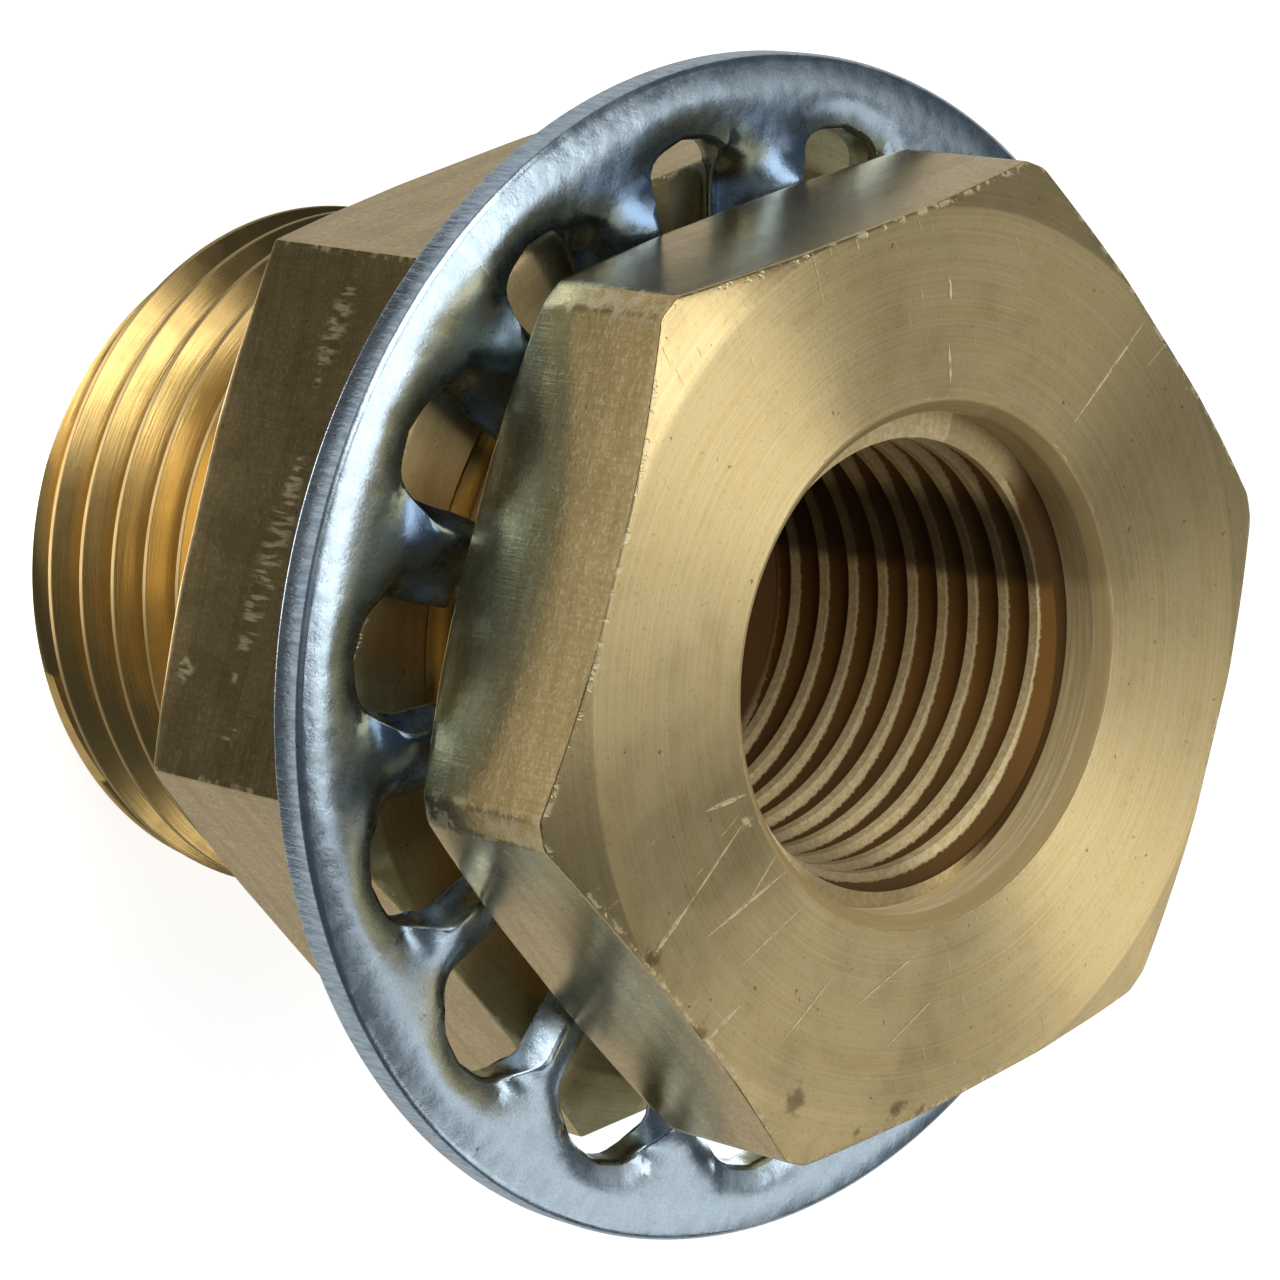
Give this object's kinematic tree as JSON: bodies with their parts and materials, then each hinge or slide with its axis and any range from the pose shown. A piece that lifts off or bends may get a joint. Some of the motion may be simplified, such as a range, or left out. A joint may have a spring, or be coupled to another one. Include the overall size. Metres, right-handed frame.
{
  "type": "bulkhead pipe coupling",
  "caption": "Brass bulkhead coupling: a hexagon head with a pipe-thread port at each end of its threaded shank, a toothed lock washer and a clamping nut.",
  "frame": {"origin": "centre of the thread end, on the surface that the part stands on", "axes": "+Z along the axis from the thread end to the head's face; -Y faces the flat nearest the camera"},
  "size_m": [0.041, 0.041, 0.033],
  "materials": {
    "body_brass": "turned and lightly scratched",
    "washer_zinc": "bright zinc plate",
    "nut_brass": "drawn bar, dull and scuffed"
  },
  "bodies": {
    "body": {"coupler_body": "body_brass"},
    "washer": {"lock_washer": "washer_zinc"},
    "nut": {"lock_nut": "nut_brass"}
  },
  "joints": [
    {"name": "washer_slide", "type": "slide", "parent": "body", "child": "washer", "axis": [0, 0, -1], "range_m": [0, 0.0127]},
    {"name": "nut_turn", "type": "hinge", "parent": "washer", "child": "nut", "pos_m": [0, 0, 0.018], "axis": [0, 0, -1], "range_deg": [0, 2520]}
  ],
  "couplings": [
    {"joint": "washer_slide", "follows": "nut_turn", "m_per_rad": 0.00028875}
  ]
}
